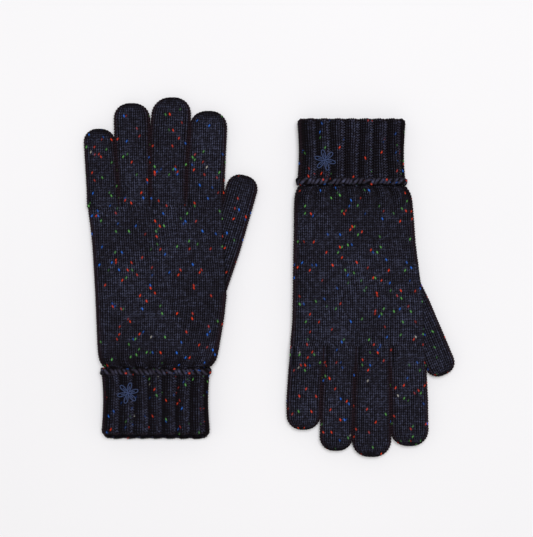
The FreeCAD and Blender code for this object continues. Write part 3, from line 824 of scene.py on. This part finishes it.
def yarn_material(name, dark, middle, light, edge, painted_hollow_shade, sheen):
    """Spun wool yarn. Two plies twist round each other every 2.4 mm, which shows as slanted ridges.
    Fibres of slightly different dye give a soft mottle and a slow drift of its shade.
    Bright nubs of red, blue and green are spun in. The hollows between loops are painted near-black as
    shade, and rolled sides, which face sideways rather than up, get a browner tint that is also painted
    shade."""
    material, tree, principled = new_material(name, 0.88, sheen, "#59607a", 0.06)
    place = add(tree, "ShaderNodeTexCoord").outputs["Object"]
    yarn = add(tree, "ShaderNodeAttribute", {"attribute_name": "yarn"})
    parts = add(tree, "ShaderNodeSeparateXYZ", links={0: yarn.outputs["Vector"]})
    mottle = add(
        tree,
        "ShaderNodeTexNoise",
        {"Scale": 1 / (MOTTLE * MM), "Detail": 2.0, "Roughness": 0.6},
        {"Vector": place},
    )
    drift = add(
        tree, "ShaderNodeTexNoise", {"Scale": 1 / (DYE_DRIFT * MM), "Detail": 2.0}, {"Vector": place}
    )
    both = add(
        tree,
        "ShaderNodeMath",
        {"operation": "MULTIPLY_ADD", 1: 0.3},
        {0: drift.outputs["Fac"], 2: mottle.outputs["Fac"]},
    )
    dye = add(
        tree,
        "ShaderNodeValToRGB",
        links={"Fac": both.outputs[0]},
        stops=((0.42, dark), (0.65, middle), (0.84, light)),
    )
    # Painted shade, partly a browner tint: sides that face sideways rather than up go towards the edge
    # colour.
    side_shade_share = add(
        tree,
        "ShaderNodeMapRange",
        {"From Min": 0.02, "From Max": 0.36, "To Max": 0.9},
        {"Value": parts.outputs["Z"]},
    )
    side_shaded = add(
        tree,
        "ShaderNodeMix",
        {"data_type": "RGBA", 7: (*linear(edge), 1.0)},
        {0: side_shade_share.outputs[0], 6: dye.outputs["Color"]},
    )
    # Painted shade: the least proud parts, the hollows between loops, go towards the near-black hollow
    # colour.
    proud = add(tree, "ShaderNodeAttribute", {"attribute_name": "proud"})
    hollow_shade_share = add(
        tree,
        "ShaderNodeMapRange",
        {"From Min": 0.66, "From Max": 1.02},
        {"Value": proud.outputs["Fac"]},
    )
    hollow_shaded = add(
        tree,
        "ShaderNodeMix",
        {"data_type": "RGBA", 6: (*linear(painted_hollow_shade), 1.0)},
        {0: hollow_shade_share.outputs[0], 7: side_shaded.outputs[2]},
    )
    fleck = add(tree, "ShaderNodeAttribute", {"attribute_name": "fleck"})
    flecked_yarn = add(
        tree,
        "ShaderNodeMix",
        {"data_type": "RGBA"},
        {0: fleck.outputs["Alpha"], 6: hollow_shaded.outputs[2], 7: fleck.outputs["Color"]},
    )
    tree.links.new(flecked_yarn.outputs[2], principled.inputs["Base Color"])
    turns = add(
        tree,
        "ShaderNodeMath",
        {"operation": "MULTIPLY", 1: 2 * math.pi / WOOL_TWIST},
        {0: parts.outputs["X"]},
    )
    angle = add(
        tree,
        "ShaderNodeMath",
        {"operation": "MULTIPLY_ADD", 1: 4 * math.pi},
        {0: parts.outputs["Y"], 2: turns.outputs[0]},
    )
    plies = add(tree, "ShaderNodeMath", {"operation": "SINE"}, {0: angle.outputs[0]})
    fibres = add(
        tree, "ShaderNodeTexNoise", {"Scale": 1 / (FIBRES * MM), "Detail": 2.0}, {"Vector": place}
    )
    height = add(
        tree,
        "ShaderNodeMath",
        {"operation": "MULTIPLY_ADD", 1: 0.35},
        {0: plies.outputs[0], 2: fibres.outputs["Fac"]},
    )
    bump = add(
        tree, "ShaderNodeBump", {"Strength": 0.6, "Distance": 0.4 * MM}, {"Height": height.outputs[0]}
    )
    tree.links.new(bump.outputs["Normal"], principled.inputs["Normal"])
    return material


def shade_shell_material():
    """Painted shade: a near-black shell under the knitting, seen only as the dark depth between the
    yarns.
    """
    material, tree, principled = new_material("knit_gap_painted_shade", 0.95, 0.0, "#202028", 0.1)
    place = add(tree, "ShaderNodeTexCoord").outputs["Object"]
    fuzz = add(
        tree, "ShaderNodeTexNoise", {"Scale": 1 / (INNER_FUZZ * MM), "Detail": 3.0}, {"Vector": place}
    )
    dye = add(
        tree,
        "ShaderNodeValToRGB",
        links={"Fac": fuzz.outputs["Fac"]},
        stops=((0.35, "#0d0b10"), (0.65, "#17151d")),
    )
    tree.links.new(dye.outputs["Color"], principled.inputs["Base Color"])
    bump = add(
        tree, "ShaderNodeBump", {"Strength": 0.5, "Distance": 0.5 * MM}, {"Height": fuzz.outputs["Fac"]}
    )
    tree.links.new(bump.outputs["Normal"], principled.inputs["Normal"])
    return material


def thread_material():
    """Mercerised embroidery cotton: smoother than wool, with a soft gleam and a fine tight twist."""
    material, tree, principled = new_material("mercerised_blue_cotton_thread", 0.6, 0.1, "#8fa0c8", 0.4)
    yarn = add(tree, "ShaderNodeAttribute", {"attribute_name": "yarn"})
    parts = add(tree, "ShaderNodeSeparateXYZ", links={0: yarn.outputs["Vector"]})
    turns = add(
        tree,
        "ShaderNodeMath",
        {"operation": "MULTIPLY", 1: 2 * math.pi / THREAD_TWIST},
        {0: parts.outputs["X"]},
    )
    angle = add(
        tree,
        "ShaderNodeMath",
        {"operation": "MULTIPLY_ADD", 1: 2 * math.pi},
        {0: parts.outputs["Y"], 2: turns.outputs[0]},
    )
    twist = add(tree, "ShaderNodeMath", {"operation": "SINE"}, {0: angle.outputs[0]})
    # Painted shade: the twist's ridges are coloured lighter and its grooves darker.
    shade = add(
        tree,
        "ShaderNodeMapRange",
        {"From Min": -1.0, "From Max": 1.0},
        {"Value": twist.outputs[0]},
    )
    dye = add(
        tree,
        "ShaderNodeValToRGB",
        links={"Fac": shade.outputs[0]},
        stops=((0.0, "#243356"), (1.0, "#374975")),
    )
    tree.links.new(dye.outputs["Color"], principled.inputs["Base Color"])
    bump = add(
        tree, "ShaderNodeBump", {"Strength": 0.5, "Distance": 0.2 * MM}, {"Height": twist.outputs[0]}
    )
    tree.links.new(bump.outputs["Normal"], principled.inputs["Normal"])
    return material


# The last two colours of each yarn are painted shade: a browner one for rolled sides and a near-black
# one for the hollows between loops.
KNIT = yarn_material(
    "flecked_navy_wool_yarn", "#26242e", "#343443", "#535770", "#38262d", "#0d090b", 0.02
)
RIB = yarn_material(
    "flecked_navy_wool_rib_yarn", "#292731", "#3a3a4a", "#585d79", "#38262d", "#0d090b", 0.02
)
SHADE_SHELL = shade_shell_material()
THREAD = thread_material()


# ---------------------------------------------------------------- the gloves' pieces


def stockinette(s):
    """No rib anywhere."""
    return 0.0 * s


def full_rib(s):
    """Rib all along."""
    return 1.0 + 0.0 * s


def fading_rib(glove):
    """The cuff's rib runs into the heel of the hand and fades out, further up the right one."""

    def strength(s):
        return 0.55 * (1.0 - smoothstep(1.0, RIB_REACH[glove], s))

    return strength


def make_hand(glove, seed):
    """The hand in two halves, one course apart, so that neither is too heavy."""
    surface = hand_tube(glove)
    halfway = HAND_COURSES // 2
    for part, rows in (("heel", range(0, halfway)), ("palm", range(halfway, HAND_COURSES))):
        piece = knit_piece(
            f"{glove}_{part}_knit",
            glove,
            surface,
            WALES,
            list(rows),
            COURSE,
            fading_rib(glove),
            seed + rows[0],
            close_end=part == "palm",
        )
        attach(piece, f"{glove}_glove")
        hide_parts(f"{glove}_hand")


def make_digit(glove, digit, seed):
    """A digit in two pieces that meet a little before its bend."""
    surface, whole, root_at = digit_tube(glove, digit)
    root, bend, _, _ = hinges(glove, digit)
    to_bend = float(np.linalg.norm(bend - root))
    wales = DIGITS[digit][1]
    courses = int(whole / COURSE)
    spacing = whole / (courses + 0.3)
    split = int((root_at + to_bend - DIVIDED_BEFORE) / spacing)
    base, tip = f"{glove}_{digit}_base", f"{glove}_{digit}_end"
    lower = knit_piece(
        f"{glove}_{digit}_lower_knit",
        glove,
        surface,
        wales,
        list(range(0, split)),
        spacing,
        stockinette,
        seed,
    )
    upper = knit_piece(
        f"{glove}_{digit}_upper_knit",
        glove,
        surface,
        wales,
        list(range(split, courses)),
        spacing,
        stockinette,
        seed + 1,
        close_end=True,
    )
    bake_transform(lower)
    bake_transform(upper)
    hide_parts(base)
    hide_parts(tip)


def make_cuffs(glove, seed):
    """The inner cuff, fixed to the hand, and the turned cuff over it."""
    for which, body, node in (("inner", "glove", "inner_cuff"), ("turned", "cuff", "turned_cuff")):
        surface, whole = cuff_tube(glove, which)
        courses = int(whole / COURSE)
        piece = knit_piece(
            f"{glove}_{which}_cuff_knit",
            glove,
            surface,
            WALES,
            list(range(courses)),
            whole / courses,
            full_rib,
            seed + len(which),
            yarn=RIB,
        )
        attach(piece, f"{glove}_{body}")
        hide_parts(f"{glove}_{node}")


def make_edge(glove):
    """The cast-on edge of the turned cuff: two thick strands twisted round each other like a cord, in
    uneven turns round the cuff, over a plain core. Both offsets from the outline are sines of the twist
    with a slower or faster sine added."""
    count = EDGE_TURNS * EDGE_POINTS
    u = np.arange(count) / count
    x, z = slot_outline(u, EDGE_HALF_WIDTH, EDGE_HALF_HEIGHT)
    outline = np.stack([x, 0 * x + EDGE_PLACE, z + CUFF_MIDDLE], axis=-1)
    ahead = np.roll(outline, -1, axis=0) - np.roll(outline, 1, axis=0)
    ahead /= np.linalg.norm(ahead, axis=-1, keepdims=True)
    outward = np.cross(np.array([0.0, 1.0, 0.0]), ahead)
    side = np.sign((outward * (outline - [0, 0, CUFF_MIDDLE])).sum(axis=1, keepdims=True))
    outward = outward * side
    paths, lift = [], []
    for strand_number in range(2):
        angle = 2 * math.pi * EDGE_TURNS * u + math.pi * strand_number
        angle = angle + 0.9 * np.sin(14 * math.pi * u + 1.0) + 0.5 * np.sin(38 * math.pi * u)
        offset = outward * (0.7 * np.cos(angle) + 0.25 * np.sin(62 * math.pi * u))[:, None]
        offset[:, 1] += 1.75 * np.sin(angle) + 0.3 * np.sin(26 * math.pi * u + strand_number)
        paths.append(outline + offset)
        # Painted shade: each strand darkens where its twist takes it behind, and the core under both is
        # darker still.
        lift.append(0.22 * np.cos(angle))
    paths.append(outline)
    lift.append(0.0 * u - 0.4)
    piece = strand(f"{glove}_cuff_edge_knit", glove, paths, EDGE_RADII, 8, RIB, True, lift)
    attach(piece, f"{glove}_cuff")
    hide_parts(f"{glove}_cuff_edge")


def make_motif(glove):
    """A plain six-petal daisy in looped stitches: petal after petal leaves the middle, goes out by
    half of 1 - cos t of the reach, swings aside by sin t, and comes back. A short straight stitch lies
    inside each petal."""
    low, high = (to_lay(glove, corner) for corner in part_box(f"{glove}_cuff_motif"))
    middle = (low + high) / 2
    reach = abs(high[0] - low[0]) / 2 + 0.5
    t = np.linspace(0.12, 2 * math.pi - 0.12, STITCH_POINTS)
    straight = np.linspace(0.3, 0.68, STITCH_POINTS)
    paths = []
    for petal in range(PETALS):
        angle = 2 * math.pi * petal / PETALS + PETAL_TURN
        heading = np.array([math.cos(angle), math.sin(angle)])
        aside = np.array([-heading[1], heading[0]])
        out = (1 - np.cos(t)) / 2 * reach
        swing = np.sin(t) * PETAL_HALF_WIDTH * (0.35 + 0.65 * (1 - np.cos(t)) / 2)
        paths.append(out[:, None] * heading + swing[:, None] * aside)
        paths.append((straight * reach)[:, None] * heading)
    flat = np.array(paths)
    height = THREAD_HEIGHT + 0.1 * np.sin(flat[..., 0] * 2.2)
    lines = np.concatenate([flat + middle[:2], height[..., None]], axis=-1)
    piece = strand(f"{glove}_cuff_motif_thread", glove, lines, THREAD_RADIUS, 6, THREAD, closed=False)
    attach(piece, f"{glove}_cuff")
    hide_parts(f"{glove}_cuff_motif")


def make_glove(glove, seed):
    """All the pieces of one glove, each with its own seed."""
    make_hand(glove, 100 + seed)
    for number, digit in enumerate(DIGITS):
        make_digit(glove, digit, 300 + seed + 3 * number)
    make_cuffs(glove, 500 + seed)
    make_edge(glove)
    make_motif(glove)


make_glove("left", 0)
make_glove("right", 50)


# ---------------------------------------------------------------- floor, light and camera


def floor():
    """A plain pale table top, 12 m wide, so that its edge shows only from very low views."""
    material, tree, principled = new_material("pale_matt_card", 0.9, 0.0, "#ffffff", 0.2)
    place = add(tree, "ShaderNodeTexCoord").outputs["Object"]
    faint = add(
        tree, "ShaderNodeTexNoise", {"Scale": 1 / (CARD_CLOUD * MM), "Detail": 1.0}, {"Vector": place}
    )
    tint = add(
        tree,
        "ShaderNodeValToRGB",
        links={"Fac": faint.outputs["Fac"]},
        stops=((0.3, "#f1f1f1"), (0.7, "#f3f3f3")),
    )
    tree.links.new(tint.outputs["Color"], principled.inputs["Base Color"])
    mesh = bpy.data.meshes.new("table_top")
    half, height = 6.0, -0.0002
    corners = [(x * half, y * half, height) for x, y in ((-1, -1), (1, -1), (1, 1), (-1, 1))]
    mesh.from_pydata(corners, [], [(0, 1, 2, 3)])
    mesh.materials.append(material)
    top = bpy.data.objects.new("table_top", mesh)
    bpy.context.scene.collection.objects.link(top)


def soft_box(name, place, size, power, colour):
    """A large soft light that looks at the middle of the pair."""
    data = bpy.data.lights.new(name, "AREA")
    data.shape = "DISK"
    data.size = size
    data.energy = power
    data.color = linear(colour)
    light = bpy.data.objects.new(name, data)
    light.location = place
    towards = Vector((0.0, 0.0, 0.0)) - light.location
    light.rotation_euler = towards.to_track_quat("-Z", "Y").to_euler()
    bpy.context.scene.collection.objects.link(light)


def studio():
    """A pale room and one broad overhead light, high and a little towards the fingertips' side."""
    world = bpy.data.worlds.new("pale_room")
    world.use_nodes = True
    background = world.node_tree.nodes["Background"]
    background.inputs["Color"].default_value = (*linear("#fdf9f4"), 1.0)
    background.inputs["Strength"].default_value = 0.375
    bpy.context.scene.world = world
    soft_box("overhead_soft_box", (0.12, 0.35, 2.2), 1.3, 39.5, "#fafaff")


def camera():
    """Straight down over the pair, with the left glove's fingers up."""
    data = bpy.data.cameras.new("overhead_camera")
    data.lens = LENS
    data.sensor_width = SENSOR
    seen = bpy.data.objects.new("overhead_camera", data)
    seen.location = (-0.0015, 0.006, SEEN_WIDTH / SENSOR * LENS + SEEN_HEIGHT)
    bpy.context.scene.collection.objects.link(seen)
    bpy.context.scene.camera = seen


floor()
studio()
camera()
bpy.context.scene.view_settings.view_transform = "Standard"
